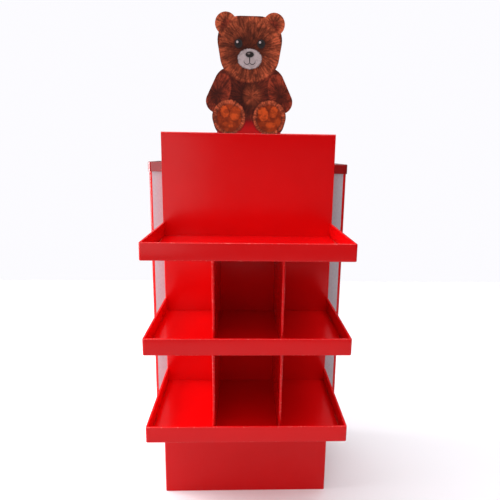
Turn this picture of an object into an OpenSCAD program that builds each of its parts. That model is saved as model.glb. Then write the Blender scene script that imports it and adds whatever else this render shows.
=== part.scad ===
// Corrugated-board floor display stand: a base box, a column, three open trays with dividers,
// a header, two side wings that hook on, and a lift-off bear-shaped topper card.
// Millimetres, +Z up, front towards -Y. The origin is on the floor, under the middle of the stand.

/* [Board] */
// Thickness of one layer of corrugated board
board = 4; // [3.5:0.5:4.5]
// Free play round a tab in its slot, on each side
play = 0.3; // [0.2:0.1:0.5]

/* [Trays] */
// Width of the trays and of the base box
stand_w = 610; // [580:10:640]
// Depth of a tray, from its front rim to the column
tray_d = 370; // [340:10:400]
// Height of a tray's rolled rim, with the floor of the tray included
rim_h = 52; // [40:1:60]
// Height from the underside of one tray to the underside of the next
tray_pitch = 283; // [275:1:300]
// Width of each tab at the back of a tray
tray_tab_w = 120; // [80:10:120]

/* [Dividers] */
// How far the dividers stop short of the front of the tray
divider_setback = 25; // [15:5:60]

/* [Base] */
// Height of the base box
base_h = 413; // [380:1:440]
// How far the base box stands out in front of the column
base_step = 85; // [70:5:110]

/* [Column] */
// Width of the column
column_w = 607; // [577:1:607]
// Depth of the column
column_d = 300; // [290:5:330]
// Height of the column above the base, its cap included
column_h = 802; // [780:1:840]

/* [Header] */
// Height of the header, from the underside of the top tray
header_h = 367; // [330:1:400]

/* [Side wings] */
// Thickness of a wing, sideways
wing_w = 58.5; // [50:0.5:80]
// Depth of a wing, front to back
wing_d = 200; // [180:5:210]
// How far a wing's front face lies behind the front of the column
wing_setback = 70; // [60:5:75]
// Height of a wing's lower end above the floor
wing_z = 215; // [200:5:230]
// Height of a wing's top above the floor
wing_top_z = 1242; // [1220:1:1250]
// Radius of a wing's outer front corner
wing_r = 12; // [6:1:20]
// Height of the red cap on a wing
wing_cap_h = 35; // [25:1:45]

/* [Topper] */
// Height of the bear-shaped card above the header
bear_h = 388; // [340:1:420]
// How far the topper card's tabs reach down into the header
topper_tab_h = 60; // [40:5:70]

/* [Hidden] */
$fn = 48;

fold = 2 * board;                 // a wall or divider folded double
half_w = stand_w / 2;
front_y = -(tray_d + column_d) / 2;
column_y = front_y + tray_d;
back_y = column_y + column_d;
base_y = column_y - base_step;
column_x = column_w / 2;
inner_x = column_x - board;

bottom_z = base_h;                // undersides of the three trays
middle_z = base_h + tray_pitch;
top_z = base_h + 2 * tray_pitch;
column_top_z = base_h + column_h;
header_top_z = top_z + header_h;

bay_x = stand_w / 6;              // the dividers make three equal bays
tray_tab_x = stand_w / 3;
tray_tab_d = 40;
floor_tab_w = 60;                 // tabs under a divider
floor_tab_y = [front_y + 95, column_y - 65];
wall_tab_h = 50;                  // tabs behind a divider
wall_tab_d = 20;
wall_tab_z = [80, 210];

foot_tab_x = bay_x + 6;           // tabs that locate the column on the base
foot_tab_w = 30;
foot_tab_d = 30;

base_flange = 60;
cap_flange = 50;
brace_flange = 40;
back_flange = 30;

rivet_r = 3;
rivet_head_r = 8;
rivet_head_t = 2;
rivet_z = [base_h + 70, base_h + 270, base_h + 500, base_h + 730];
rivet_y = back_y - board - 14;

wing_gap = 0.5;                   // between a wing and the side of the base
wing_x = half_w + wing_gap;
wing_y = column_y + wing_setback;
hook_h = 30;                      // neck of a hook
hook_drop = 25;                   // leg of a hook, behind the column's side
hook_leg = 6;
hook_y = [wing_y + 40, wing_y + wing_d - 40];
hook_z = [base_h + 120, base_h + 640];

topper_t = board - 2 * play;
topper_tab_w = 60;
topper_tab_x = 75;
k = bear_h / 388;                 // the bear's drawing is 388 high at scale 1

// ---------- shared shapes ----------

// A box given by two opposite corners
module slab(low, high) {
    translate(low) cube(high - low);
}

// The same shape twice, mirrored left to right
module both_sides() {
    children();
    mirror([1, 0, 0]) children();
}

// A rectangular sleeve with vertical walls of one board, open at both ends
module sleeve(low, high) {
    difference() {
        slab(low, high);
        slab(low + [board, board, -1], high + [-board, -board, 1]);
    }
}

// Board edge folded over: a wall two layers thick with a rounded top, along X or along Y
module rolled_wall_x(x0, x1, y, z0, h) {
    slab([x0, y, z0], [x1, y + fold, z0 + h - board]);
    translate([x0, y + board, z0 + h - board]) rotate([0, 90, 0]) cylinder(r = board, h = x1 - x0);
}

module rolled_wall_y(x, y0, y1, z0, h) {
    slab([x, y0, z0], [x + fold, y1, z0 + h - board]);
    translate([x + board, y1, z0 + h - board]) rotate([90, 0, 0]) cylinder(r = board, h = y1 - y0);
}

// ---------- base ----------

// Shallow tray in the foot of the base box: floor and four upturned flanges
module base_floor_tray() color("firebrick") {
    low = [-half_w + board, base_y + board, 0];
    high = [half_w - board, back_y - board, base_flange];
    slab(low, [high.x, high.y, board]);
    sleeve(low, high);
}

// Printed outer box of the base, open at top and bottom
module base_sleeve() color("red") {
    sleeve([-half_w, base_y, 0], [half_w, back_y, base_h - board]);
}

brace_low = [-half_w + fold, base_y + fold, board];
brace_high = [half_w - fold, back_y - fold, base_h - board];
brace_mid_y = (brace_low.y + brace_high.y) / 2;
brace_mid_z = (brace_low.z + brace_high.z) / 2;

// Board across the inside of the base, slotted from above for the two short braces
module base_brace_long() color("peru") difference() {
    slab([brace_low.x, brace_mid_y - board / 2, brace_low.z],
         [brace_high.x, brace_mid_y + board / 2, brace_high.z]);
    both_sides()
        slab([bay_x - board / 2 - play, brace_mid_y - board, brace_mid_z],
             [bay_x + board / 2 + play, brace_mid_y + board, brace_high.z + 1]);
}

// Board from front to back inside the base, slotted from below for the long brace
module base_brace(side) color("peru") difference() {
    slab([side * bay_x - board / 2, brace_low.y, brace_low.z],
         [side * bay_x + board / 2, brace_high.y, brace_high.z]);
    slab([side * bay_x - board, brace_mid_y - board / 2 - play, brace_low.z - 1],
         [side * bay_x + board, brace_mid_y + board / 2 + play, brace_mid_z]);
}

module base_brace_left() base_brace(-1);
module base_brace_right() base_brace(1);

// Platform on the base box, with flanges turned down inside it and slots for the column's feet
module base_top_cap() color("red") difference() {
    union() {
        slab([-half_w, base_y, base_h - board], [half_w, back_y, base_h]);
        sleeve([-half_w + board, base_y + board, base_h - cap_flange],
               [half_w - board, back_y - board, base_h - board]);
    }
    both_sides()
        slab([foot_tab_x - play, column_y - play, base_h - board - 1],
             [foot_tab_x + foot_tab_w + play, column_y + board + play, base_h + 1]);
}

// ---------- column ----------

// Slots in the column's front for the tabs of the tray at height z and of the dividers on it
module tray_slots(z) {
    for (x = [-tray_tab_x, 0, tray_tab_x])
        slab([x - tray_tab_w / 2 - play, column_y - 1, z - play],
             [x + tray_tab_w / 2 + play, column_y + board + 1, z + board + play]);
    for (x = [-bay_x, bay_x], dz = wall_tab_z)
        slab([x - board - play, column_y - 1, z + dz - wall_tab_h / 2 - play],
             [x + board + play, column_y + board + 1, z + dz + wall_tab_h / 2 + play]);
}

// Slots in the column's right side for the wing's hooks, tall enough to lift them out
module hook_slots() {
    for (y = hook_y, z = hook_z)
        slab([inner_x - 1, y - board / 2 - 2 * play, z - play],
             [column_x + 1, y + board / 2 + 2 * play, z + hook_h + hook_drop + 4]);
}

module rivet_holes() {
    for (z = rivet_z)
        translate([inner_x - board - 1, rivet_y, z]) rotate([0, 90, 0])
            cylinder(r = rivet_r + 0.1, h = fold + 2);
}

// Printed front and sides of the column, folded from one sheet. The front is the back of the bays.
module column_front_shell() color("red") difference() {
    union() {
        slab([-column_x, column_y, base_h], [column_x, column_y + board, top_z]);
        both_sides() {
            slab([inner_x, column_y + board, base_h],
                 [column_x, back_y - board, column_top_z - board]);
            slab([foot_tab_x, column_y, base_h - foot_tab_d],
                 [foot_tab_x + foot_tab_w, column_y + board, base_h]);
        }
    }
    tray_slots(bottom_z);
    tray_slots(middle_z);
    both_sides() {
        hook_slots();
        rivet_holes();
    }
}

// Back of the column, with flanges turned forward inside the sides
module column_back_panel() color("red") difference() {
    union() {
        slab([-column_x, back_y - board, base_h], [column_x, back_y, column_top_z - board]);
        both_sides()
            slab([inner_x - board, back_y - board - back_flange, base_h],
                 [inner_x, back_y - board, column_top_z - board]);
    }
    both_sides() rivet_holes();
}

// Level board inside the column that carries a tray's tabs, with flanges turned down
module column_brace(z) color("peru") {
    low = [-inner_x, column_y + board, z - brace_flange];
    high = [inner_x, back_y - board - back_flange, z];
    slab([low.x, low.y, z - board], high);
    sleeve(low, [high.x, high.y, z - board]);
}

module column_brace_lower() column_brace(middle_z);
module column_brace_upper() column_brace(top_z);

// Lid of the column, behind the header, with flanges turned down inside it
module column_top_cap() color("red") {
    y0 = column_y + 3 * board;
    slab([-column_x, y0, column_top_z - board], [column_x, back_y, column_top_z]);
    sleeve([-inner_x, y0, column_top_z - brace_flange],
           [inner_x, back_y - board - back_flange, column_top_z - board]);
}

// Plastic push rivets that join the column's sides to the flanges of its back
module column_rivets() color("darkred") both_sides()
    for (z = rivet_z) translate([0, rivet_y, z]) rotate([0, 90, 0]) {
        translate([0, 0, inner_x - board - 1]) cylinder(r = rivet_r, h = fold + 1);
        translate([0, 0, column_x]) cylinder(r1 = rivet_head_r, r2 = rivet_head_r - 1.5,
                                             h = rivet_head_t);
        translate([0, 0, inner_x - board - 2]) cylinder(r = rivet_r + 2, h = 2);
    }

// ---------- header ----------

header_z = top_z + board;         // the header stands on the top tray's tabs

// Printed front of the header
module header_front_panel() color("red")
    slab([-column_x, column_y, header_z], [column_x, column_y + board, header_top_z]);

// Middle layer of the header: pockets for the topper's tabs at the top, and two windows
module header_spacer() color("peru") difference() {
    slab([-inner_x, column_y + board, header_z], [inner_x, column_y + fold, header_top_z]);
    both_sides() {
        slab([topper_tab_x - topper_tab_w / 2 - play, column_y, header_top_z - topper_tab_h - 1],
             [topper_tab_x + topper_tab_w / 2 + play, column_y + fold + 1, header_top_z + 1]);
        slab([40, column_y, header_z + 50],
             [inner_x - 50, column_y + fold + 1, header_top_z - topper_tab_h - 50]);
    }
}

// Rear of the header, between the sides of the column
module header_rear_panel() color("red")
    slab([-inner_x, column_y + fold, header_z],
         [inner_x, column_y + 3 * board, header_top_z]);

// ---------- trays and dividers ----------

// Open tray: floor, rolled rims at the front and sides, and three tabs at the back.
// A tray that carries dividers has slots in its floor for them.
module tray(z, carries_dividers) color("red") {
    difference() {
        slab([-half_w, front_y, z], [half_w, column_y, z + board]);
        if (carries_dividers)
            for (x = [-bay_x, bay_x], y = floor_tab_y)
                slab([x - board - play, y - floor_tab_w / 2 - play, z - 1],
                     [x + board + play, y + floor_tab_w / 2 + play, z + board + 1]);
    }
    rolled_wall_x(-half_w, half_w, front_y, z, rim_h);
    rolled_wall_y(-half_w, front_y, column_y, z, rim_h);
    rolled_wall_y(half_w - fold, front_y, column_y, z, rim_h);
    for (x = [-tray_tab_x, 0, tray_tab_x])
        slab([x - tray_tab_w / 2, column_y, z],
             [x + tray_tab_w / 2, column_y + tray_tab_d, z + board]);
}

module bottom_tray() tray(bottom_z, true);
module middle_tray() tray(middle_z, true);
module top_tray() tray(top_z, false);

// Upright divider, folded double at its front edge. It stands on the tray at height z
// and carries the next tray.
module divider(x, z) color("red") {
    y0 = front_y + divider_setback;
    foot_z = z + board;
    head_z = z + tray_pitch;
    slab([x - board, y0 + board, foot_z], [x + board, column_y, head_z]);
    translate([x, y0 + board, foot_z]) cylinder(r = board, h = head_z - foot_z);
    for (y = floor_tab_y)
        slab([x - board, y - floor_tab_w / 2, z], [x + board, y + floor_tab_w / 2, foot_z]);
    for (dz = wall_tab_z)
        slab([x - board, column_y, z + dz - wall_tab_h / 2],
             [x + board, column_y + wall_tab_d, z + dz + wall_tab_h / 2]);
}

module bottom_divider_left() divider(-bay_x, bottom_z);
module bottom_divider_right() divider(bay_x, bottom_z);
module middle_divider_left() divider(-bay_x, middle_z);
module middle_divider_right() divider(bay_x, middle_z);

// ---------- side wings ----------

// Plan of the right wing, drawn in by inset on every side, or grown by lip on all but its inner
// side. Its outer front corner is rounded.
module wing_plan(inset = 0, lip = 0) {
    low = [wing_x + inset, wing_y + inset - lip];
    high = [wing_x + wing_w - inset + lip, wing_y + wing_d - inset + lip];
    r = wing_r - inset + lip;
    translate(low) square([high.x - low.x - r, high.y - low.y]);
    translate([low.x, low.y + r]) square([high.x - low.x, high.y - low.y - r]);
    translate([high.x - r, low.y + r]) circle(r = r);
}

// Slim box that hangs beside the column on four hooks cut from its inner wall
module wing_shell() {
    color("gainsboro") {
        translate([0, 0, wing_z]) linear_extrude(wing_top_z - board - wing_z) difference() {
            wing_plan();
            wing_plan(inset = board);
        }
        translate([0, 0, wing_z]) linear_extrude(board) wing_plan();
    }
    color("gainsboro")
        for (y = hook_y, z = hook_z) {
            slab([inner_x - play - hook_leg, y - board / 2, z],
                 [wing_x + 1, y + board / 2, z + hook_h]);
            slab([inner_x - play - hook_leg, y - board / 2, z - hook_drop],
                 [inner_x - play, y + board / 2, z]);
        }
}

// Red lid of a wing: a top with flaps folded down outside the wing's front, outer side and back
module wing_cap() color("firebrick") {
    translate([0, 0, wing_top_z - wing_cap_h]) linear_extrude(wing_cap_h - board) difference() {
        wing_plan(lip = board);
        wing_plan();
    }
    translate([0, 0, wing_top_z - board]) linear_extrude(board) wing_plan(lip = board);
}

module right_wing_shell() wing_shell();
module right_wing_cap() wing_cap();
module left_wing_shell() mirror([1, 0, 0]) wing_shell();
module left_wing_cap() mirror([1, 0, 0]) wing_cap();

// ---------- topper ----------

// Outline of a seated toy bear, drawn from its seat at (0, 0), with a plinth under its feet
module bear_outline() {
    hull() both_sides() {
        translate([32, 300]) circle(r = 76);
        translate([22, 252]) circle(r = 78);
    }
    hull() both_sides() translate([50, 120]) circle(r = 62);
    both_sides() {
        translate([80, 352]) circle(r = 36);
        hull() {
            translate([62, 158]) circle(r = 58);
            translate([109, 104]) circle(r = 39);
        }
        hull() {
            translate([72, 54]) circle(r = 55);
            translate([72, 36]) circle(r = 50);
        }
    }
    translate([-110, 0]) square([220, 34]);
    translate([-40, 0]) square([80, 70]);
}

// Die-cut card in the shape of a seated bear, with two tabs that drop into the header
module topper_card() color("saddlebrown") {
    card_y = column_y + board + play;
    translate([0, card_y + topper_t, header_top_z]) rotate([90, 0, 0]) linear_extrude(topper_t)
        intersection() {
            scale(k) bear_outline();
            translate([-stand_w / 2, 0]) square([stand_w, 2 * bear_h]);
        }
    both_sides()
        slab([topper_tab_x - topper_tab_w / 2, card_y, header_top_z - topper_tab_h],
             [topper_tab_x + topper_tab_w / 2, card_y + topper_t, header_top_z + 10]);
}

base_floor_tray();
base_sleeve();
base_brace_long();
base_brace_left();
base_brace_right();
base_top_cap();
column_front_shell();
column_back_panel();
column_brace_lower();
column_brace_upper();
column_top_cap();
column_rivets();
header_front_panel();
header_spacer();
header_rear_panel();
bottom_tray();
middle_tray();
top_tray();
bottom_divider_left();
bottom_divider_right();
middle_divider_left();
middle_divider_right();
left_wing_shell();
left_wing_cap();
right_wing_shell();
right_wing_cap();
topper_card();
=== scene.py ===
"""Looks of a corrugated-board floor display stand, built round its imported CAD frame.

Metres, +Z up, front towards -Y. Board pieces that show are bent sheets with thickness, so that folds are
round and cut edges show the fluting between the liners. Inner boards and the topper keep their CAD shape.
"""
import math
import bmesh
import bpy
from mathutils import Matrix, Quaternion, Vector

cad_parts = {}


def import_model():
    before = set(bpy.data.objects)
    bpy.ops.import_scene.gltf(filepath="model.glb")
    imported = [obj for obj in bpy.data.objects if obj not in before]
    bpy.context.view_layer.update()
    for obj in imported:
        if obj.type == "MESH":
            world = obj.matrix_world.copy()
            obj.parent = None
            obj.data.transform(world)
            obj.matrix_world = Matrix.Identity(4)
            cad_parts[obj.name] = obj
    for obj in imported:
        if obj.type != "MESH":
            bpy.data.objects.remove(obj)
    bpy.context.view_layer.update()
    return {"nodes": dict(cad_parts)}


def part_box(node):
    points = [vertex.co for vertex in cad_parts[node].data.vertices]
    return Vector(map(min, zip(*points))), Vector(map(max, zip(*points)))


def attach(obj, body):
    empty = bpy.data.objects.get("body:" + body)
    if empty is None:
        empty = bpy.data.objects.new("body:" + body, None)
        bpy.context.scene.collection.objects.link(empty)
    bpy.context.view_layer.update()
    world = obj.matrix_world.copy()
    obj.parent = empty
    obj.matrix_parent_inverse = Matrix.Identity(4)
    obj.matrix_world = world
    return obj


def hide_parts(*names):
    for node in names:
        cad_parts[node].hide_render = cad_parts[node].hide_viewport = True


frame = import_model()

# ---------- sizes, from the frame ----------

MM = 0.001
FLUTE_PITCH = 7.8 * MM            # from one flute to the next
LINER = 0.35 * MM                 # paper on each side of the fluting
PLAY = 0.3 * MM                   # round a tab in its slot
FOLD_R = 2.4 * MM                 # middle of the board in a right-angled fold

header_low, header_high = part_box("header_front_panel")
tray_low, tray_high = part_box("top_tray")
base_low, base_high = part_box("base_sleeve")
wing_low, wing_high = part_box("right_wing_shell")
wing_lid_low, wing_lid_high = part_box("right_wing_cap")
lid_low, lid_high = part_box("column_top_cap")
column_low, column_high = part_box("column_front_shell")
back_low, back_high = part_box("column_back_panel")

BOARD = header_high.y - header_low.y
COLUMN_Y = header_low.y
BACK_Y = back_high.y
HALF_W = tray_high.x
COLUMN_X = column_high.x
RIM_H = tray_high.z - tray_low.z
FRONT_Y = tray_low.y
BASE_TOP = base_high.z + BOARD
HEADER_TOP = header_high.z
TRAYS = {name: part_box(name)[0].z for name in ("bottom_tray", "middle_tray", "top_tray")}
PITCH = TRAYS["middle_tray"] - TRAYS["bottom_tray"]
BAY_X = HALF_W / 3
TRAY_TAB = (2 * HALF_W / 3, 60 * MM)          # spacing and half width of the tabs behind a tray
TRAY_TAB_D = 40 * MM                          # how far they reach back
# middle and half width of a divider's tabs, under it and behind it, and of the column's feet
FLOOR_TABS = [(FRONT_Y + 95 * MM, 30 * MM), (COLUMN_Y - 65 * MM, 30 * MM)]
WALL_TABS = [(80 * MM, 25 * MM), (210 * MM, 25 * MM)]
FOOT_TAB = (BAY_X + 21 * MM, 15 * MM)
WALL_TAB_D = 20 * MM
DIVIDER_SETBACK = 25 * MM                     # from the front of the tray
CAP_FLANGE = 40 * MM                          # turned down inside the column
WING_R = 12 * MM                  # outer front corner of a wing
HOOK_Z = [BASE_TOP + 120 * MM, BASE_TOP + 640 * MM]
HOOK_Y = [wing_low.y + 40 * MM, wing_high.y - 40 * MM]
HOOK_NECK = 30 * MM
HOOK_DROP = 25 * MM               # leg of a hook, below its neck
HOOK_LEG = 6 * MM                 # width of the leg
TOPPER_TAB = (75 * MM, 30 * MM)               # middle and half width of the topper's tabs
TOPPER_TAB_D = 60 * MM
WINDOW_FRAME = 50 * MM                        # board left round the windows in the header's middle layer
FUR, PLUSH, SMOOTH = "fur", "plush", "smooth"  # piles in the topper's print
STRAND, STRAND_LENGTH = 6, 26                 # width and length of the printed fur's strands, in millimetres
RIVET_Y = BACK_Y - BOARD - 14 * MM
RIVET_Z = [BASE_TOP + h * MM for h in (70, 270, 500, 730)]


# ---------- materials ----------

def add_node(tree, kind, inputs, **settings):
    """Adds a node. An input is a value, or the socket that it comes from."""
    node = tree.nodes.new(kind)
    for key, value in settings.items():
        setattr(node, key, value)
    for socket, value in inputs.items():
        if isinstance(value, bpy.types.NodeSocket):
            tree.links.new(value, node.inputs[socket])
        else:
            node.inputs[socket].default_value = value
    return node


class Shader:
    """A material with short ways to add the nodes that it needs."""

    def __init__(self, name):
        self.material = bpy.data.materials.new(name)
        self.material.use_nodes = True
        self.tree = self.material.node_tree
        self.bsdf = self.tree.nodes["Principled BSDF"]

    def add(self, kind, inputs, output=0, **settings):
        return add_node(self.tree, kind, inputs, **settings).outputs[output]

    def math(self, operation, *values, clamp=False):
        return self.add("ShaderNodeMath", dict(enumerate(values)), operation=operation, use_clamp=clamp)

    def mix(self, factor, a, b):
        colours = {0: factor, 6: self.rgba(a), 7: self.rgba(b)}
        return self.add("ShaderNodeMix", colours, output=2, data_type="RGBA")

    def rgba(self, colour):
        return colour if isinstance(colour, bpy.types.NodeSocket) else (*colour, 1)

    def step(self, value, low, high):
        """0 below low and 1 above high, with a smooth rise between."""
        inputs = {"Value": value, "From Min": low, "From Max": high}
        return self.add("ShaderNodeMapRange", inputs, interpolation_type="SMOOTHSTEP")

    def noise(self, scale, detail=2, vector=None, output=0):
        inputs = {"Vector": vector or self.position(), "Scale": scale, "Detail": detail}
        return self.add("ShaderNodeTexNoise", inputs, output=output)

    def position(self):
        return self.add("ShaderNodeTexCoord", {}, output=3)

    def axes(self, vector):
        return tuple(add_node(self.tree, "ShaderNodeSeparateXYZ", {0: vector}).outputs)

    def cracks(self, start):
        """1 where the print has cracked, which it does only along the folds."""
        fold = self.add("ShaderNodeAttribute", {}, output=2, attribute_name="fold")
        return self.math("MULTIPLY", fold, self.step(self.noise(180, 4), start, 0.70))

    def normal(self):
        return self.axes(self.add("ShaderNodeNewGeometry", {}, output=1))

    def bump(self, height):
        """Height is in metres."""
        self.set("Normal", self.add("ShaderNodeBump", {"Height": height, "Distance": 1.0, "Strength": 1.0}))

    def set(self, socket, value):
        if isinstance(value, bpy.types.NodeSocket):
            self.tree.links.new(value, self.bsdf.inputs[socket])
        else:
            self.bsdf.inputs[socket].default_value = value

    def board_height(self, washboard, fibre, warp):
        """Surface of corrugated board: the flutes that show through, paper fibres, and its slow waviness."""
        x, y, _ = self.axes(self.position())
        nx, _, _ = self.normal()
        sideways = self.math("GREATER_THAN", self.math("ABSOLUTE", nx), 0.7)
        along = self.math("ADD", self.math("MULTIPLY", x, self.math("SUBTRACT", 1.0, sideways)),
                          self.math("MULTIPLY", y, sideways))
        wave = self.math("SINE", self.math("MULTIPLY", along, 2 * math.pi / FLUTE_PITCH))
        height = self.math("MULTIPLY", wave, washboard)
        height = self.math("MULTIPLY_ADD", self.noise(700, 3), fibre, height)
        return self.math("MULTIPLY_ADD", self.noise(5, 1), warp, height)


def red_board():
    """Board printed a full red and coated, with the ink cracked a little along the folds."""
    s = Shader("red_coated_board")
    patchy = s.noise(9, 3)
    grain = s.noise(260, 3)
    red = s.mix(patchy, (0.80, 0.002, 0.003), (0.87, 0.003, 0.005))
    red = s.mix(s.math("MULTIPLY", grain, 0.12), red, (0.68, 0.001, 0.002))
    red = s.mix(s.math("MULTIPLY", s.cracks(0.54), 0.35), red, (0.85, 0.25, 0.20))
    s.set("Base Color", red)
    s.set("Roughness", s.math("MULTIPLY_ADD", s.noise(40, 3), 0.12, 0.15))
    s.set("Specular IOR Level", 0.34)
    s.bump(s.board_height(0.012 * MM, 0.012 * MM, 1.2 * MM))
    return s.material


def lid_board():
    """Deep red laminated board with a clear gloss film."""
    s = Shader("glossy_lid_board")
    red = s.mix(s.noise(12, 3), (0.36, 0.003, 0.004), (0.44, 0.005, 0.006))
    s.set("Base Color", s.mix(s.math("MULTIPLY", s.cracks(0.56), 0.3), red, (0.75, 0.20, 0.16)))
    s.set("Roughness", s.math("MULTIPLY_ADD", s.noise(40, 3), 0.10, 0.10))
    s.set("Specular IOR Level", 0.7)
    s.set("Coat Weight", 0.8)
    s.set("Coat Roughness", 0.06)
    s.bump(s.board_height(0.008 * MM, 0.008 * MM, 0.8 * MM))
    return s.material


def plain_board(name, light, dark, washboard, roughness):
    """Uncoated board with paper fibres and faint flute lines."""
    s = Shader(name)
    x, y, z = s.axes(s.position())
    stretched = s.add("ShaderNodeCombineXYZ", {0: x, 1: y, 2: s.math("MULTIPLY", z, 0.25)})
    fibres = s.noise(420, 4, vector=stretched)
    colour = s.mix(s.step(fibres, 0.3, 0.72), dark, light)
    specks = s.math("MULTIPLY", s.step(s.noise(900, 1), 0.68, 0.76), 0.35)
    colour = s.mix(specks, colour, dark)
    colour = s.mix(s.math("MULTIPLY", s.noise(6, 2), 0.25), colour, dark)
    s.set("Base Color", colour)
    s.set("Roughness", s.math("MULTIPLY_ADD", fibres, 0.15, roughness))
    s.bump(s.board_height(washboard, 0.03 * MM, 0.8 * MM))
    return s.material


def cut_edge():
    """Cut edge of corrugated board: two liners and the wave between them, with the open channels between
    them painted dark as painted shade.

    The UV map holds metres along the edge, and 0 to 1 across it.
    """
    s = Shader("cut_board_edge")
    along, across, _ = s.axes(s.add("ShaderNodeUVMap", {}, uv_map="edge"))
    wave = s.math("SINE", s.math("MULTIPLY", along, 2 * math.pi / FLUTE_PITCH))
    centre = s.math("MULTIPLY_ADD", wave, 0.34, 0.5)
    off_wave = s.math("ABSOLUTE", s.math("SUBTRACT", across, centre))
    hollow = s.step(off_wave, 0.09, 0.16)
    off_middle = s.math("ABSOLUTE", s.math("SUBTRACT", across, 0.5))
    liner = s.step(off_middle, 0.39, 0.42)
    hollow = s.math("MULTIPLY", hollow, s.math("SUBTRACT", 1.0, liner))
    paper = s.mix(s.noise(800, 3), (0.40, 0.25, 0.14), (0.62, 0.44, 0.28))
    # the open channels between the wave and the liners are painted near black: painted shade inside them
    s.set("Base Color", s.mix(hollow, paper, (0.09, 0.05, 0.03)))
    s.set("Roughness", s.math("MULTIPLY_ADD", s.noise(300), 0.1, 0.8))
    s.bump(s.math("MULTIPLY", hollow, -0.4 * MM))
    return s.material


def rivet_plastic():
    """Moulded plastic with a fine grain."""
    s = Shader("moulded_red_plastic")
    s.set("Base Color", s.mix(s.noise(60, 3), (0.42, 0.008, 0.012), (0.52, 0.014, 0.018)))
    s.set("Roughness", s.math("MULTIPLY_ADD", s.noise(500, 3), 0.16, 0.34))
    s.bump(s.math("MULTIPLY", s.noise(1500, 2), 0.01 * MM))
    return s.material


RED, LID, KRAFT, EDGE, PALE, RIVET = "red", "lid", "kraft", "edge", "pale", "rivet"
MATERIALS = {
    RED: red_board(),
    LID: lid_board(),
    KRAFT: plain_board("kraft_board", (0.56, 0.39, 0.24), (0.40, 0.26, 0.15), 0.03 * MM, 0.7),
    EDGE: cut_edge(),
    PALE: plain_board("pale_lined_board", (0.68, 0.72, 0.76), (0.57, 0.61, 0.65), 0.03 * MM, 0.55),
    RIVET: rivet_plastic(),
}


# ---------- mesh tools ----------

class Builder:
    """Collects vertices and faces of one piece."""

    def __init__(self):
        self.mesh = bmesh.new()
        self.uv = self.mesh.loops.layers.uv.new("edge")
        self.fold = self.mesh.verts.layers.float.new("fold")
        self.used = []

    def vertex(self, place, fold=0.0):
        v = self.mesh.verts.new(place)
        v[self.fold] = fold
        return v

    def face(self, corners, material, uvs=None):
        """Adds a face, leaving out corners that fall together. Faces with no area are left out."""
        kept, kept_uvs = [], []
        for i, v in enumerate(corners):
            if all((v.co - other.co).length > 1e-7 for other in kept):
                kept.append(v)
                kept_uvs.append(uvs[i] if uvs else (0, 0))
        if len(kept) < 3:
            return
        face = self.mesh.faces.new(kept)
        if material not in self.used:
            self.used.append(material)
        face.material_index = self.used.index(material)
        for loop, uv in zip(face.loops, kept_uvs):
            loop[self.uv].uv = uv

    def finish(self, name, body="root", replaces=(), bevel=0.35 * MM, sharp=40):
        bmesh.ops.remove_doubles(self.mesh, verts=self.mesh.verts, dist=1e-6)
        bmesh.ops.recalc_face_normals(self.mesh, faces=self.mesh.faces)
        data = bpy.data.meshes.new(name)
        self.mesh.to_mesh(data)
        self.mesh.free()
        for key in self.used:
            data.materials.append(MATERIALS[key])
        data.shade_smooth()
        data.set_sharp_from_angle(angle=math.radians(sharp))
        piece = bpy.data.objects.new(name, data)
        bpy.context.scene.collection.objects.link(piece)
        if bevel:
            soften(piece, bevel)
        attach(piece, body)
        if replaces:
            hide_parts(*replaces)
        return piece


def soften(piece, width):
    """Rounds the hard edges of a piece."""
    modifier = piece.modifiers.new("soft_edges", "BEVEL")
    modifier.width = width
    modifier.segments = 2
    modifier.limit_method = "ANGLE"
    modifier.angle_limit = math.radians(50)
    modifier.harden_normals = True


def bent_path(points, radius, step=60 * MM, arc_steps=6):
    """Stations along a path with rounded corners: (place, normal to the left, distance, 1 in a fold).

    radius is one number, or one for each point of the path.
    """
    count = len(points)
    radii = list(radius) if isinstance(radius, (list, tuple)) else [radius] * count
    points = [Vector(p) for p in points]
    cut = [0.0] * count
    for i in range(1, count - 1):
        before = (points[i] - points[i - 1]).normalized()
        after = (points[i + 1] - points[i]).normalized()
        cut[i] = radii[i] * math.tan(before.angle(after) / 2)
    result = []
    distance = 0.0

    def put(place, direction, fold):
        nonlocal distance
        if result:
            gap = (place - result[-1][0]).length
            if gap < 1e-7:
                return
            distance += gap
        result.append((place, Vector((-direction.y, direction.x)), distance, fold))

    for corner, (start, end) in enumerate(zip(points, points[1:]), start=1):
        direction = (end - start).normalized()
        a = start + direction * cut[corner - 1]
        b = end - direction * cut[corner]
        pieces = max(1, math.ceil((b - a).length / step))
        for n in range(pieces + 1):
            put(a.lerp(b, n / pieces), direction, 0.0)
        if cut[corner]:
            following = (points[corner + 1] - points[corner]).normalized()
            turn = direction.angle_signed(following)
            side = Vector((-direction.y, direction.x)) * (-1 if turn > 0 else 1)
            centre = b + side * radii[corner]
            for n in range(1, arc_steps + 1):
                turned = Matrix.Rotation(-turn * n / arc_steps, 2)
                arm = b - centre
                arm.rotate(turned)
                heading = direction.copy()
                heading.rotate(turned)
                put(centre + arm, heading, 1.0 if n < arc_steps else 0.0)
    return result


def with_stations(path, distances):
    """The path with extra stations at these distances, which lie on its straight stretches."""
    result = list(path)
    for d in sorted(distances):
        for i in range(len(result) - 1):
            a, b = result[i], result[i + 1]
            if a[2] + 1e-7 < d < b[2] - 1e-7:
                place = a[0].lerp(b[0], (d - a[2]) / (b[2] - a[2]))
                result.insert(i + 1, (place, a[1], d, 0.0))
                break
    return result


def steps_between(low, high, step, extra):
    """Levels from low to high, at most step apart, with the extra ones among them."""
    count = max(1, math.ceil((high - low) / step))
    levels = [low + (high - low) * i / count for i in range(count + 1)]
    levels += [e for e in extra if low < e < high]
    levels.sort()
    kept = [levels[0]]
    for level in levels[1:]:
        if level - kept[-1] > 1e-6:
            kept.append(level)
    return kept


def upright(a, b, v):
    """Puts a sheet whose path is a plan. The sheet spans heights."""
    return (a, b, v)


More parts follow.
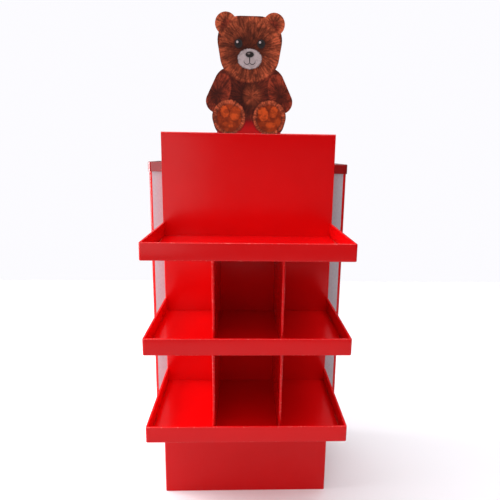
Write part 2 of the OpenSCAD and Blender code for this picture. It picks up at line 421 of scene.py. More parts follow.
def level(a, b, v):
    """Puts a sheet whose path is a section across the stand. The sheet spans from front to back."""
    return (a, v, b)


def bent_board(b, path, span, place=upright, holes=(), thickness=BOARD, paint=None, step=60 * MM):
    """A sheet of board that follows path, with its middle on the path, and spans from span[0] to span[1].

    A hole is (distance from, distance to, span from, span to), and one at the sheet's border is a notch.
    paint(side, distance, v) names the material of the left (1) and right (-1) face.
    """
    paint = paint or (lambda side, distance, v: RED)
    path = with_stations(path, [d for h in holes for d in h[:2]])
    levels = steps_between(span[0], span[1], step, [v for h in holes for v in h[2:]])
    columns = len(path) - 1
    rows = len(levels) - 1

    def centre(i, j):
        return (path[i][2] + path[i + 1][2]) / 2, (levels[j] + levels[j + 1]) / 2

    def solid(i, j):
        if not (0 <= i < columns and 0 <= j < rows):
            return False
        d, v = centre(i, j)
        return not any(h[0] < d < h[1] and h[2] < v < h[3] for h in holes)

    made = {}

    def vertex(i, j, side):
        key = (i, j, side)
        if key not in made:
            middle, normal, _, fold = path[i]
            p = middle + normal * (side * thickness / 2)
            made[key] = b.vertex(place(p.x, p.y, levels[j]), fold)
        return made[key]

    for i in range(columns):
        for j in range(rows):
            if not solid(i, j):
                continue
            d, v = centre(i, j)
            for side in (1, -1):
                corners = [vertex(i, j, side), vertex(i + 1, j, side),
                           vertex(i + 1, j + 1, side), vertex(i, j + 1, side)]
                b.face(corners if side < 0 else corners[::-1], paint(side, d, v))
            rims = [(i, j - 1, (i, j), (i + 1, j), path[i][2], path[i + 1][2]),
                    (i, j + 1, (i + 1, j + 1), (i, j + 1), path[i + 1][2], path[i][2]),
                    (i - 1, j, (i, j + 1), (i, j), levels[j + 1], levels[j]),
                    (i + 1, j, (i + 1, j), (i + 1, j + 1), levels[j], levels[j + 1])]
            for ni, nj, p, q, u0, u1 in rims:
                if not solid(ni, nj):
                    corners = [vertex(*p, -1), vertex(*p, 1), vertex(*q, 1), vertex(*q, -1)]
                    b.face(corners, EDGE, [(u0, 0), (u0, 1), (u1, 1), (u1, 0)])


def arc(centre, radius, start, end, steps=5):
    """Points of an arc, angles in degrees."""
    points = []
    for n in range(steps + 1):
        angle = math.radians(start + (end - start) * n / steps)
        points.append((centre[0] + radius * math.cos(angle), centre[1] + radius * math.sin(angle)))
    return points


def swept_rim(b, corners, profile, radius, step=60 * MM, seam=0.5 * MM):
    """Sweeps a red section round the corners of a plan, mitred inside and rounded outside.

    corners are plan points, with the wall on the left of the path. profile is a list of (offset inwards,
    height, fold). seam is the depth of the line that the mitre leaves across the top.
    Returns the rings of vertices, one for each station.
    """
    top = max(p[1] for p in profile)
    corners = [Vector(c) for c in corners]
    last_run = len(corners) - 2
    stations = []
    for i in range(last_run + 1):
        start, end = corners[i], corners[i + 1]
        direction = (end - start).normalized()
        inward = Vector((-direction.y, direction.x))
        first = radius if i > 0 else 0.0
        last = radius if i < last_run else 0.0
        pieces = max(1, math.ceil(((end - start).length - first - last) / step))
        for n in range(1 if first else 0, pieces + (0 if last else 1)):
            along = first + ((end - start).length - first - last) * n / pieces
            stations.append(("run", start + direction * along, inward, None))
        if last:
            after = (corners[i + 2] - end).normalized()
            turn_in = Vector((-after.y, after.x))
            back = end - direction * (radius + 1 * MM)
            ahead = end + after * (radius + 1 * MM)
            stations.append(("near", back, inward, (end - direction * 1 * MM, inward, turn_in)))
            for n in range(5):
                angle = math.pi / 2 * n / 4
                arm = -(inward * math.cos(angle) + turn_in * math.sin(angle))
                centre = end + (inward + turn_in) * radius
                stations.append(("fan", centre, arm, (end, inward, turn_in)))
            stations.append(("near", ahead, turn_in, (end + after * 1 * MM, inward, turn_in)))
    rings = []
    for kind, base, way, corner in stations:
        ring = []
        for offset, height, fold in profile:
            if kind == "run" or (kind == "near" and offset < radius):
                p = base + way * offset
            elif offset < radius:
                p = base + way * (radius - offset)
            else:
                p = corner[0] + (corner[1] + corner[2]) * offset
                if kind == "fan" and height > top - 1 * MM:
                    height -= seam
            ring.append(b.vertex((p.x, p.y, height), fold))
        rings.append(ring)
    for ring, following in zip(rings, rings[1:]):
        for k in range(len(profile)):
            n = (k + 1) % len(profile)
            b.face([ring[k], ring[n], following[n], following[k]], RED)
    return rings


# ---------- trays ----------

def folded(points):
    """Marks the middle of an arc as a fold, and leaves its ends plain."""
    last = len(points) - 1
    return [(o, h, 1 if 0 < i < last else 0) for i, (o, h) in enumerate(points)]


def rim_section(z):
    """Section of a rolled rim on the tray whose underside is at z: (offset inwards, height, fold)."""
    low_r, top_r = 3.2 * MM, 2.6 * MM
    fold_w = 2 * BOARD
    section = [(fold_w - 0.8 * MM, z, 0)]
    section += folded(arc((low_r, z + low_r), low_r, 270, 180))
    section += folded(arc((top_r, z + RIM_H - top_r), top_r, 180, 90))
    section += folded(arc((fold_w - top_r, z + RIM_H - top_r), top_r, 90, 0))
    section += [(fold_w, z + BOARD + 1.4 * MM, 0), (fold_w - 0.8 * MM, z + BOARD + 0.4 * MM, 0)]
    return section


def tray(name, carries_dividers):
    """Open tray: rolled rims round three sides, a floor with slots, and tabs at the back."""
    z = TRAYS[name]
    b = Builder()
    plan = [(-HALF_W, COLUMN_Y), (-HALF_W, FRONT_Y), (HALF_W, FRONT_Y), (HALF_W, COLUMN_Y)]
    rings = swept_rim(b, plan, rim_section(z), radius=5.5 * MM)
    b.face(rings[0][::-1], EDGE)
    b.face(rings[-1], EDGE)
    inset = 2 * BOARD - 0.8 * MM
    x0 = -HALF_W + inset
    path = bent_path([(x0, z + BOARD / 2), (-x0, z + BOARD / 2)], 0)
    spacing, half = TRAY_TAB
    tab_edges = [-HALF_W]
    for x in (-spacing, 0, spacing):
        tab_edges += [x - half, x + half]
    tab_edges.append(HALF_W)
    back = COLUMN_Y + TRAY_TAB_D
    holes = [(a - x0, c - x0, COLUMN_Y, back + 1) for a, c in zip(tab_edges[::2], tab_edges[1::2])]
    if carries_dividers:
        wide = BOARD + PLAY
        for x in (-BAY_X, BAY_X):
            for y, reach in FLOOR_TABS:
                long = reach + PLAY
                holes.append((x - wide - x0, x + wide - x0, y - long, y + long))
    # slits beside the rims, where the inner wall tucks into the floor
    slit, tuck = 0.7 * MM, 26 * MM
    for x in (x0 + 1.2 * MM, -x0 - 1.2 * MM - slit):
        for y in (FRONT_Y + 0.3 * (COLUMN_Y - FRONT_Y), FRONT_Y + 0.75 * (COLUMN_Y - FRONT_Y)):
            holes.append((x - x0, x + slit - x0, y - tuck, y + tuck))
    for x in (-spacing, 0, spacing):
        y = FRONT_Y + inset + 1.2 * MM
        holes.append((x - tuck - x0, x + tuck - x0, y, y + slit))
    bent_board(b, path, (FRONT_Y + inset, back), place=level, holes=holes, step=80 * MM)
    return b.finish(name + "_board", replaces=[name])


# ---------- dividers ----------

def divider(name, x, z):
    """Divider folded double at its front edge, with tabs into the tray's floor and the column."""
    ply = BOARD - 0.25 * MM
    middle = BOARD / 2 + 0.12 * MM
    y_front = FRONT_Y + DIVIDER_SETBACK + ply / 2
    y_back = COLUMN_Y + WALL_TAB_D
    left, right = x - middle, x + middle
    b = Builder()
    path = bent_path([(left, y_back), (left, y_front), (right, y_front), (right, y_back)], middle * 0.98)
    length = path[-1][2]
    foot, head = z + BOARD, z + PITCH
    holes = []
    # the parts of the blank that aren't tabs are cut away, on both plies
    tongue_z = [z]
    for above, reach in WALL_TABS:
        tongue_z += [z + above - reach, z + above + reach]
    tongue_z.append(head + 1)
    tongue = y_back - COLUMN_Y
    for low, high in zip(tongue_z[::2], tongue_z[1::2]):
        holes += [(-1, tongue, low - 1 * MM, high), (length - tongue, length + 1, low - 1 * MM, high)]
    foot_y = [y_front - 1]
    for y, reach in FLOOR_TABS:
        foot_y += [y - reach, y + reach]
    foot_y.append(y_back + 1)
    for low, high in zip(foot_y[::2], foot_y[1::2]):
        far, near = max(y_back - high, -1), y_back - low
        if low < y_front:
            holes.append((far, length - far, z - 1 * MM, foot))
        else:
            holes += [(far, near, z - 1 * MM, foot), (length - near, length - far, z - 1 * MM, foot)]
    bent_board(b, path, (z, head), holes=holes, step=70 * MM)
    return b.finish(name + "_board", replaces=[name])


# ---------- column ----------

def column_shell():
    """Front and sides of the column from one sheet, with slots for the tabs and the wings' hooks."""
    half = BOARD / 2
    x, front, rear = COLUMN_X - half, COLUMN_Y + half, BACK_Y - BOARD
    path = bent_path([(-x, rear), (-x, front), (x, front), (x, rear)], FOLD_R, step=70 * MM)
    length = path[-1][2]
    corner = next(s[2] for s in path if s[3] == 0 and s[0].x > -x + 2 * MM)
    corner_x = next(s[0].x for s in path if s[2] == corner)
    side_end = next(s[2] for s in reversed(path[:12]) if s[0].x < -x + 1e-6)

    def at(px):
        """Distance along the sheet of the place px on its front."""
        return corner + (px - corner_x)

    z_top = header_low.z - BOARD
    foot_z = column_low.z
    holes = [(side_end - 3 * MM, length - side_end + 3 * MM, z_top, lid_high.z)]
    spacing, reach = TRAY_TAB
    for z in (TRAYS["bottom_tray"], TRAYS["middle_tray"]):
        for px in (-spacing, 0, spacing):
            holes.append((at(px - reach - PLAY), at(px + reach + PLAY), z - PLAY, z + BOARD + PLAY))
        for px in (-BAY_X, BAY_X):
            for dz, tall in WALL_TABS:
                holes.append((at(px - BOARD - PLAY), at(px + BOARD + PLAY),
                              z + dz - tall - PLAY, z + dz + tall + PLAY))
    foot_x, foot_half = FOOT_TAB
    edges = [-1, at(-foot_x - foot_half), at(-foot_x + foot_half), at(foot_x - foot_half),
             at(foot_x + foot_half), length + 1]
    holes += [(a, c, foot_z - 1, BASE_TOP) for a, c in zip(edges[::2], edges[1::2])]
    slot = BOARD / 2 + 2 * PLAY
    lift_room = HOOK_NECK + HOOK_DROP + 4 * MM
    for y in HOOK_Y:
        for z in HOOK_Z:
            d = rear - y
            for low in (d - slot, length - d - slot):
                holes.append((low, low + 2 * slot, z - PLAY, z + lift_room))
    b = Builder()
    inside = lambda side, distance, v: RED if side < 0 else KRAFT
    bent_board(b, path, (foot_z, lid_low.z + CAP_FLANGE - BOARD), holes=holes, step=80 * MM, paint=inside)
    return b.finish("column_wrap_board", replaces=["column_front_shell"])


def column_back():
    """Back of the column with flanges turned forward inside the sides."""
    half = BOARD / 2
    b = Builder()
    outer = bent_path([(-COLUMN_X, BACK_Y - half), (COLUMN_X, BACK_Y - half)], 0, step=70 * MM)
    span = (back_low.z, back_high.z)
    skin = lambda side, distance, v: RED if side > 0 else KRAFT
    bent_board(b, outer, span, step=80 * MM, paint=skin)
    for sign in (-1, 1):
        x = sign * (COLUMN_X - BOARD - half)
        flange = bent_path([(x, back_low.y), (x, BACK_Y - BOARD)], 0, step=70 * MM)
        bent_board(b, flange, span, step=80 * MM, paint=lambda side, distance, v: KRAFT)
    return b.finish("column_back_board", replaces=["column_back_panel"])


# ---------- base ----------

def base_wrap():
    """Printed sleeve of the base box, with round folds and a glue joint at the back."""
    half = BOARD / 2
    x, y0, y1 = HALF_W - half, base_low.y + half, base_high.y - half
    b = Builder()
    path = bent_path([(0.4 * x, y1), (x, y1), (x, y0), (-x, y0), (-x, y1), (0.4 * x - 1.2 * MM, y1)],
                     FOLD_R, step=70 * MM)
    skin = lambda side, distance, v: KRAFT if side < 0 else RED
    bent_board(b, path, (base_low.z, base_high.z), step=70 * MM, paint=skin)
    return b.finish("base_wrap_board", replaces=["base_sleeve"])


# ---------- header ----------

def fluted_sheet(name, low, high, front, back, replaces, windows=()):
    """Flat upright sheet between two corners, with its liners and its fluting as real surfaces."""
    b = Builder()
    x0, x1, y0, y1, z0, z1 = low.x, high.x, low.y, high.y, low.z, high.z
    for ya, yb, skin in ((y0, y0 + LINER, front), (y1 - LINER, y1, back)):
        path = bent_path([(x0, (ya + yb) / 2), (x1, (ya + yb) / 2)], 0, step=60 * MM)
        holes = [(a - x0, c - x0, lo, hi) for a, c, lo, hi in windows]
        paint = lambda side, distance, v: skin
        bent_board(b, path, (z0, z1), thickness=LINER, holes=holes, paint=paint, step=90 * MM)
    middle, swing, half = (y0 + y1) / 2, (y1 - y0) / 2 - 1.6 * LINER, 0.2 * MM
    per_wave = 10
    count = int((x1 - x0) / FLUTE_PITCH * per_wave)
    points = []
    for n in range(count + 1):
        x = x0 + (x1 - x0) * n / count
        points.append((x, middle + swing * math.sin(2 * math.pi * (x - x0) / FLUTE_PITCH)))
    stretches = [(z0, z1, x0, x1)]
    if windows:
        levels = sorted({z0, z1} | {h for w in windows for h in w[2:] if z0 < h < z1})
        stretches = []
        for lo, hi in zip(levels, levels[1:]):
            gaps = sorted((w[0], w[1]) for w in windows if w[2] < (lo + hi) / 2 < w[3])
            start = x0
            for a, c in gaps + [(x1, x1)]:
                if a > start:
                    stretches.append((lo, hi, start, a))
                start = max(start, c)
    for lo, hi, xa, xb in stretches:
        run = [p for p in points if xa - 1e-6 <= p[0] <= xb + 1e-6]
        rows = []
        for z in (lo, hi):
            rows.append([[b.vertex((x, y + side * half, z)) for x, y in run] for side in (-1, 1)])
        for n in range(len(run) - 1):
            for side in (0, 1):
                a, c = rows[0][side], rows[1][side]
                b.face([a[n], a[n + 1], c[n + 1], c[n]], KRAFT)
            for row in rows:
                b.face([row[0][n], row[0][n + 1], row[1][n + 1], row[1][n]], KRAFT)
        for n in (0, len(run) - 1):
            b.face([rows[0][0][n], rows[0][1][n], rows[1][1][n], rows[1][0][n]], KRAFT)
    return b.finish(name, replaces=replaces, bevel=0)


def header():
    """One printed sheet folded over the header's top, with the fluted spacer between its two plies."""
    half = BOARD / 2
    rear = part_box("header_rear_panel")
    y0, y1, z0 = COLUMN_Y + half, rear[1].y - half, header_low.z
    path = bent_path([(y0, z0), (y0, HEADER_TOP - half), (y1, HEADER_TOP - half), (y1, z0)],
                     (y1 - y0) / 2 * 0.999, step=70 * MM)
    length = path[-1][2]
    stations = [station[2] for station in path]
    nearest = lambda d: min(stations, key=lambda other: abs(other - d))
    slot = [nearest(length / 2 + side * math.pi / 4 * (y1 - y0) / 2) for side in (-1, 1)]
    side_top = length - (lid_high.z + 1 * MM - z0)
    x_in = rear[1].x
    holes = [(side_top, length + 1, -1, -x_in), (side_top, length + 1, x_in, 1)]
    middle, reach = TOPPER_TAB
    for sign in (-1, 1):
        x = sign * middle
        holes.append((*slot, x - reach - 0.5 * MM, x + reach + 0.5 * MM))
    b = Builder()
    skin = lambda side, distance, v: RED if side > 0 else KRAFT
    bent_board(b, path, (-COLUMN_X, COLUMN_X), place=lambda y, z, x: (x, y, z), holes=holes, paint=skin,
               step=70 * MM)
    b.finish("header_board", replaces=["header_front_panel", "header_rear_panel"])

    low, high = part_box("header_spacer")
    high.z = HEADER_TOP - BOARD - 2 * MM
    windows = []
    for sign in (-1, 1):
        pocket = sorted((sign * (middle - reach - PLAY), sign * (middle + reach + PLAY)))
        window = sorted((sign * 40 * MM, sign * (x_in - WINDOW_FRAME)))
        windows.append((*pocket, HEADER_TOP - TOPPER_TAB_D - 1 * MM, HEADER_TOP + 1 * MM))
        windows.append((*window, low.z + WINDOW_FRAME, HEADER_TOP - TOPPER_TAB_D - WINDOW_FRAME))
    fluted_sheet("header_spacer_board", low, high, KRAFT, KRAFT, ["header_spacer"], windows)


# ---------- wings ----------

def wing(side, sign):
    """Slim box beside the column: pale front, red round the other sides, hooks on its inner wall."""
    half = BOARD / 2
    x0, x1 = HALF_W + 0.5 * MM, wing_high.x
    y0, y1 = wing_low.y, wing_high.y
    z0, z1 = wing_low.z, wing_high.z
    middle = (x0 + x1) / 2
    corners = [(middle, y0 + half), (x1 - half, y0 + half), (x1 - half, y1 - half),
               (x0 + half, y1 - half), (x0 + half, y0 + half), (middle, y0 + half)]
    fold_r = 2.2 * MM
    path = bent_path([(sign * x, y) for x, y in corners], [0, WING_R - half, fold_r, fold_r, fold_r, 0],
                     step=60 * MM)
    print_starts = x1 - WING_R - middle
    length = path[-1][2]

    def skin(face, distance, v):
        if face == sign:
            return KRAFT
        return PALE if distance < print_starts or distance > length - (middle - x0) else RED

    b = Builder()
    bent_board(b, path, (z0, z1), step=80 * MM, paint=skin)
    floor = bent_path([(sign * (x0 + BOARD), z0 + half), (sign * (x1 - BOARD), z0 + half)], 0)
    bent_board(b, floor, (y0 + WING_R, y1 - BOARD), place=level, paint=lambda f, d, v: KRAFT)
    leg_x = COLUMN_X - BOARD - PLAY
    for y in HOOK_Y:
        for z in HOOK_Z:
            hook = bent_path([(sign * (leg_x - HOOK_LEG), y), (sign * x0, y)], 0)
            cut = (HOOK_LEG, 1, z - 1, z)
            span = (z - HOOK_DROP, z + HOOK_NECK)
            bent_board(b, hook, span, holes=[cut], paint=lambda f, d, v: KRAFT)
    b.finish(side + "_wing_board", body=side + "_wing", replaces=[side + "_wing_shell"])
    wing_lid(side, sign, x0)


def wing_lid(side, sign, x0):
    """Deep red lid with a rounded fold round its top.

    Its flaps hang down outside the wing's front, side and back.
    """
    half = BOARD / 2
    x1 = wing_lid_high.x
    y0, y1 = wing_lid_low.y, wing_lid_high.y
    z0, z1 = wing_lid_low.z, wing_lid_high.z
    corners = [(x0, y0 + half), (x1 - half, y0 + half), (x1 - half, y1 - half), (x0, y1 - half)]
    path = bent_path([(sign * x, y) for x, y in corners], [0, WING_R + half, FOLD_R, 0])
    top_r = 3 * MM
    b = Builder()

    def ring(inset, height, fold=0):
        vertices = []
        for place, normal, _, _ in path:
            p = place - normal * sign * (half - inset)
            vertices.append(b.vertex((p.x, p.y, height), fold))
        return vertices

    outside = [ring(0, z0)] + [ring(o, h, f) for o, h, f in folded(arc((top_r, z1 - top_r), top_r, 180, 90))]
    inside = [ring(BOARD, z0), ring(BOARD, z1 - BOARD)]
    for rings, material in ((outside, LID), (inside, KRAFT)):
        for low, high in zip(rings, rings[1:]):
            for i in range(len(path) - 1):
                b.face([low[i], low[i + 1], high[i + 1], high[i]], material)
        b.face(rings[-1], material)
    for i in range(len(path) - 1):
        u0, u1 = path[i][2], path[i + 1][2]
        corners = [outside[0][i], outside[0][i + 1], inside[0][i + 1], inside[0][i]]
        b.face(corners, EDGE, [(u0, 0), (u1, 0), (u1, 1), (u0, 1)])
    end = [r[0] for r in outside] + [r[-1] for r in reversed(outside)]
    end += [inside[0][-1], inside[1][-1], inside[1][0], inside[0][0]]
    b.face(end, KRAFT)
    b.finish(side + "_wing_lid", body=side + "_wing", replaces=[side + "_wing_cap"])


# ---------- rivets ----------

def rivets():
    """Push rivets: a domed head with a sunk pin, and the shank that goes through both boards.

    The section is a list of (radius, height above the column's side), in millimetres.
    """
    b = Builder()
    head = [(8.0, 0.0), (8.0, 0.6), (7.4, 1.2), (6.0, 1.7), (3.6, 1.95)]
    head += [(3.2, 1.6), (2.9, 1.0), (2.6, 1.5), (0.0, 1.6)]
    body = [(0.0, -10.0), (5.0, -10.0), (5.0, -8.4), (3.0, -8.2), (3.0, 0.0)]
    section = [(r * MM, h * MM) for r, h in body + head]
    around = 24
    for sign in (-1, 1):
        for z in RIVET_Z:
            rings = []
            for r, h in section:
                ring = []
                for n in range(around):
                    angle = 2 * math.pi * n / around
                    ring.append(b.vertex((sign * (COLUMN_X + h), RIVET_Y + r * math.cos(angle),
                                          z + r * math.sin(angle))))
                rings.append(ring)
            for ring, following in zip(rings, rings[1:]):
                for n in range(around):
                    m = (n + 1) % around
                    b.face([ring[n], ring[m], following[m], following[n]], RIVET)
    return b.finish("push_rivets", replaces=["column_rivets"], bevel=0, sharp=50)


# ---------- inner boards and the topper, which keep their CAD shape ----------

def dress_cad(name, material):
    """Gives a CAD node its material and soft edges."""
    piece = frame["nodes"][name]
    piece.data.materials.clear()
    piece.data.materials.append(material)
    weld = piece.modifiers.new("weld", "WELD")
    weld.merge_threshold = 1e-5
    soften(piece, 0.4 * MM)


def topper_print():
    """Print of a seated toy bear on red card, with plain board behind and at the cut edge.

    The drawing's numbers are millimetres from the middle of the card and from the header's top.
    """
    s = Shader("topper_print")
    position = s.position()

    def moved(vector, noise, amount):
        """The vector, pushed about by up to half the amount."""
        shift = s.add("ShaderNodeVectorMath", {0: noise, 1: (0.5, 0.5, 0.5)}, operation="SUBTRACT")
        shift = s.add("ShaderNodeVectorMath", {0: shift, "Scale": amount}, operation="SCALE")
        return s.add("ShaderNodeVectorMath", {0: shift, 1: vector}, operation="ADD")

    fur_x, _, fur_z = s.axes(moved(position, s.noise(150, 3, output=1), 9 * MM))
    flat_x, _, flat_z = s.axes(position)
    tufts = s.math("MULTIPLY_ADD", s.step(s.noise(62, 3), 0.36, 0.64), 0.8, 0.6)

    def blob(below, x, z, rx, rz, dark, light, pile=FUR, tilt=0.0, soft=0.05, shade=0.45,
             heart=0.36, rim=0.62):
        """Lays an ellipse on the picture below it. heart and rim are how light it is there.

        soft is how blurred its outline is, and shade how strong the soft dark line round it is. Fur and
        plush have a ruffled outline and tufts, and fur has strands that run outwards.
        """
        px, pz = (flat_x, flat_z) if pile == SMOOTH else (fur_x, fur_z)
        ox = s.math("SUBTRACT", px, x * MM)
        oz = s.math("SUBTRACT", pz, HEADER_TOP + z * MM)
        if tilt:
            c, n = math.cos(math.radians(tilt)), math.sin(math.radians(tilt))
            ox, oz = (s.math("ADD", s.math("MULTIPLY", ox, c), s.math("MULTIPLY", oz, n)),
                      s.math("SUBTRACT", s.math("MULTIPLY", oz, c), s.math("MULTIPLY", ox, n)))
        dx = s.math("DIVIDE", ox, rx * MM)
        dz = s.math("DIVIDE", oz, rz * MM)
        reach = s.math("SQRT", s.math("MULTIPLY_ADD", dx, dx, s.math("MULTIPLY", dz, dz)))
        if shade:
            gloom = s.step(reach, 1.0 + 7 / rx, 0.96)
            below = s.mix(s.math("MULTIPLY", gloom, shade), below, (0.022, 0.005, 0.005))
        cover = s.step(reach, 1.0 + soft, 1.0 - soft)
        swell = s.math("MULTIPLY", s.math("MULTIPLY", reach, reach), rim - heart)
        lit = s.math("ADD", swell, heart)
        if pile != SMOOTH:
            lit = s.math("MULTIPLY", s.math("MULTIPLY_ADD", dx, 0.10, lit), tufts)
        if pile == FUR:
            ray = s.add("ShaderNodeCombineXYZ", {
                0: s.math("MULTIPLY", s.math("DIVIDE", dx, reach), rx / STRAND),
                1: s.math("MULTIPLY", s.math("DIVIDE", dz, reach), rz / STRAND),
                2: s.math("MULTIPLY_ADD", reach, rx / STRAND_LENGTH, x)})
            strands = s.math("MULTIPLY_ADD", s.step(s.noise(1.0, 2, vector=ray), 0.34, 0.66), 1.0, 0.5)
            lit = s.math("MULTIPLY", lit, strands)
        return s.mix(cover, below, s.mix(s.math("MULTIPLY", lit, 1.0, clamp=True), dark, light))

    brown = ((0.035, 0.006, 0.003), (0.80, 0.150, 0.058))
    deep = ((0.022, 0.004, 0.003), (0.46, 0.062, 0.026))
    pad = ((0.10, 0.008, 0.003), (0.80, 0.105, 0.016))
    cream = ((0.24, 0.18, 0.17), (0.66, 0.55, 0.55))
    black = ((0.004, 0.003, 0.003), (0.06, 0.05, 0.05))
    red = ((0.20, 0.002, 0.004), (0.70, 0.006, 0.008))
    flat = {"pile": SMOOTH, "shade": 0}
    plush = {"pile": PLUSH}

    # fur up to the card's edge, and red card under the bear
    picture = s.mix(s.math("MULTIPLY", tufts, 0.34), *deep)
    for side in (-1, 1):
        picture = blob(picture, side * 78, 351, 40, 40, *brown, heart=0.40, rim=0.74)
        picture = blob(picture, side * 76, 343, 21, 22, *deep, shade=0.25, heart=0.60, rim=0.50, soft=0.15)
    picture = blob(picture, 0, 116, 88, 92, *deep, heart=0.10, rim=0.34, soft=0.15, shade=0)
    picture = blob(picture, 6, 122, 34, 44, *brown, heart=0.34, rim=0.08, soft=0.4, shade=0)
    for side in (-1, 1):
        picture = blob(picture, side * 108, 126, 40, 72, *deep, tilt=side * 22, heart=0.16, rim=0.78)
    picture = blob(picture, 0, 272, 106, 104, *brown, heart=0.06, rim=0.56)
    picture = blob(picture, 0, 0, 62, 44, *red, **flat, soft=0.25, heart=0.9, rim=0.0)
    picture = blob(picture, 0, -14, 190, 22, *red, **flat, soft=0.12, heart=0.8, rim=0.8)
    # the tabs, hidden in the header until the card is lifted
    picture = blob(picture, 0, -52, 190, 40, *red, **flat, soft=0.12, heart=0.8, rim=0.8)
    for side in (-1, 1):
        picture = blob(picture, side * 70, 52, 56, 57, *brown, shade=0.75, heart=0.18, rim=0.64)
        picture = blob(picture, side * 69, 49, 42, 45, *pad, **plush, shade=0.55, soft=0.06,
                       heart=0.42, rim=0.34)
        picture = blob(picture, side * 48, 64, 18, 24, *pad, **plush, tilt=side * 12, shade=0.3,
                       heart=0.86, rim=0.62)
        picture = blob(picture, side * 84, 70, 14, 20, *pad, **plush, tilt=side * -14, shade=0.3,
                       heart=0.80, rim=0.60)
        picture = blob(picture, side * 68, 28, 25, 11, *pad, **plush, shade=0.2, soft=0.12,
                       heart=0.62, rim=0.45)

    # face
    picture = blob(picture, 0, 242, 40, 32, *cream, **plush, shade=0.5, soft=0.07, heart=1.25, rim=1.0)
    for side in (-1, 1):
        # smile: a dark ring with the muzzle's colour laid back over its inside
        picture = blob(picture, side * 9, 234, 10.5, 10.5, *black, **flat)
        picture = blob(picture, side * 9, 236.5, 9.6, 10.5, *cream, **flat, heart=0.8, rim=0.8)
        picture = blob(picture, side * 38, 290, 13, 14, *black, pile=SMOOTH, shade=0.6)
        picture = blob(picture, side * 38 - 4, 295, 3.6, 4, *cream, **flat, heart=1, rim=1)
    picture = blob(picture, 0, 242, 1.8, 12, *black, **flat)
    picture = blob(picture, 0, 256, 14, 9.5, *black, pile=SMOOTH, shade=0.3)
    picture = blob(picture, -3, 259, 4.5, 2.4, *cream, **flat, soft=0.4, heart=0.2, rim=0.1)

    _, ny, _ = s.normal()
    front = s.math("LESS_THAN", ny, -0.6)
    board = s.mix(s.noise(600, 3), (0.45, 0.30, 0.18), (0.68, 0.52, 0.36))
    s.set("Base Color", s.mix(front, board, picture))
    s.set("Roughness", s.math("MULTIPLY_ADD", front, -0.25, 0.80))
    s.set("Specular IOR Level", 0.2)
    s.bump(s.board_height(0.01 * MM, 0.012 * MM, 0.6 * MM))
    return s.material


# ---------- the object ----------

tray("bottom_tray", True)
tray("middle_tray", True)
tray("top_tray", False)
for shelf in ("bottom", "middle"):
    for side, sign in (("left", -1), ("right", 1)):
        divider(f"{shelf}_divider_{side}", sign * BAY_X, TRAYS[shelf + "_tray"])
column_shell()
column_back()
base_wrap()
header()
wing("left", -1)
wing("right", 1)
rivets()
for inner in ("base_floor_tray", "base_brace_long", "base_brace_left", "base_brace_right",
              "column_brace_lower", "column_brace_upper"):
    dress_cad(inner, MATERIALS[KRAFT])
for lid in ("base_top_cap", "column_top_cap"):
    dress_cad(lid, MATERIALS[RED])
dress_cad("topper_card", topper_print())


# ---------- stage, light and camera ----------

def stage_floor():
    """Floor that looks nearly white, but throws back less light than it seems to."""
    s = Shader("studio_floor")
    seen = s.add("ShaderNodeLightPath", {})
    mottled = s.mix(s.noise(3, 2), (0.90, 0.90, 0.915), (0.92, 0.92, 0.93))
    s.set("Base Color", s.mix(seen, (0.45, 0.45, 0.46), mottled))
    s.set("Roughness", 0.7)
    s.set("Specular IOR Level", 0.2)
    bpy.ops.mesh.primitive_plane_add(size=5.6, location=(0, 0, 0))
    floor = bpy.context.object
    floor.name = "studio_floor"
    floor.data.materials.append(s.material)


CEILING = 3.3                     # brightness straight above
CEILING_FALL = 4.0                # how fast it falls off towards the walls
BRIGHTER_LEFT = 0.4               # share by which the left half of the ceiling is brighter
WALLS = 0.05                      # brightness all round


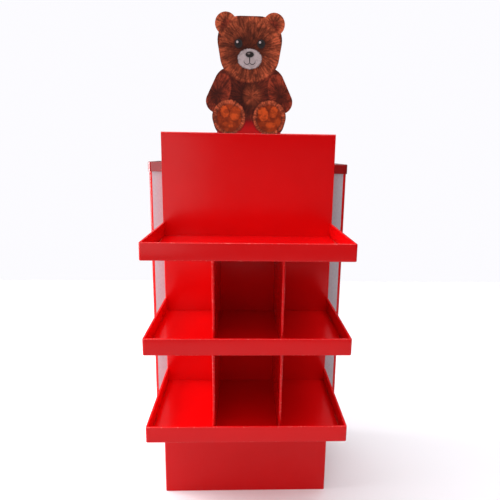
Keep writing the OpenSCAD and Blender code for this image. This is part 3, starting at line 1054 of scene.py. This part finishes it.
def world():
    """White behind the object. Its light comes from a room with a bright ceiling and dim walls."""
    scene_world = bpy.data.worlds.new("studio")
    bpy.context.scene.world = scene_world
    scene_world.use_nodes = True
    tree = scene_world.node_tree

    def add_math(operation, *values):
        return add_node(tree, "ShaderNodeMath", dict(enumerate(values)), operation=operation).outputs[0]

    direction = add_node(tree, "ShaderNodeTexCoord", {}).outputs["Generated"]
    x, _, z = add_node(tree, "ShaderNodeSeparateXYZ", {0: direction}).outputs
    ceiling = add_math("POWER", add_math("MAXIMUM", z, 0.0), CEILING_FALL)
    ceiling = add_math("MULTIPLY", ceiling, add_math("MULTIPLY_ADD", x, -BRIGHTER_LEFT, 1.0))
    strength = add_math("MULTIPLY_ADD", ceiling, CEILING, WALLS)
    room = add_node(tree, "ShaderNodeBackground", {"Color": (0.98, 0.97, 1.0, 1), "Strength": strength})
    white = tree.nodes["Background"]
    white.inputs["Color"].default_value = (0.975, 0.968, 1.0, 1)
    white.inputs["Strength"].default_value = 1.0
    seen = add_node(tree, "ShaderNodeLightPath", {}).outputs["Is Camera Ray"]
    both = add_node(tree, "ShaderNodeMixShader", {0: seen, 1: room.outputs[0], 2: white.outputs[0]})
    tree.links.new(both.outputs[0], tree.nodes["World Output"].inputs["Surface"])


def soft_light(name, place, target, size, power, mirrored=True):
    """Area light. One that isn't mirrored gives light, but doesn't show in glossy surfaces."""
    data = bpy.data.lights.new(name, "AREA")
    data.shape = "RECTANGLE"
    data.size, data.size_y = size
    data.energy = power
    data.color = (0.97, 0.97, 1.0)
    lamp = bpy.data.objects.new(name, data)
    lamp.location = place
    lamp.visible_glossy = mirrored
    lamp.rotation_euler = (Vector(target) - Vector(place)).to_track_quat("-Z", "Y").to_euler()
    bpy.context.scene.collection.objects.link(lamp)


def camera():
    """The photo's viewpoint, fitted to the stand's edges."""
    data = bpy.data.cameras.new("camera")
    data.sensor_width = 36
    data.lens = 31.41
    data.shift_x, data.shift_y = -0.019, -0.018
    data.dof.use_dof = False
    eye = bpy.data.objects.new("camera", data)
    pitch, yaw, roll = math.radians(11.14), math.radians(2.06), math.radians(0.88)
    ahead = Vector((math.sin(yaw) * math.cos(pitch), math.cos(yaw) * math.cos(pitch), -math.sin(pitch)))
    eye.location = (-0.0136, -1.5193, 1.2713)
    turned = ahead.to_track_quat("-Z", "Y") @ Quaternion((0, 0, 1), roll)
    eye.rotation_euler = turned.to_euler()
    bpy.context.scene.collection.objects.link(eye)
    bpy.context.scene.camera = eye


stage_floor()
world()
soft_light("window", (-1.1, -2.2, 1.1), (0, 0, 0.9), (1.4, 1.5), 8)
soft_light("side_window", (-2.4, 0.15, 1.3), (0, 0, 0.8), (1.4, 1.8), 82)
soft_light("front_fill", (0.5, -2.8, 0.75), (0, 0, 0.65), (2.0, 1.4), 9.5, mirrored=False)
camera()
bpy.context.scene.view_settings.view_transform = "Standard"
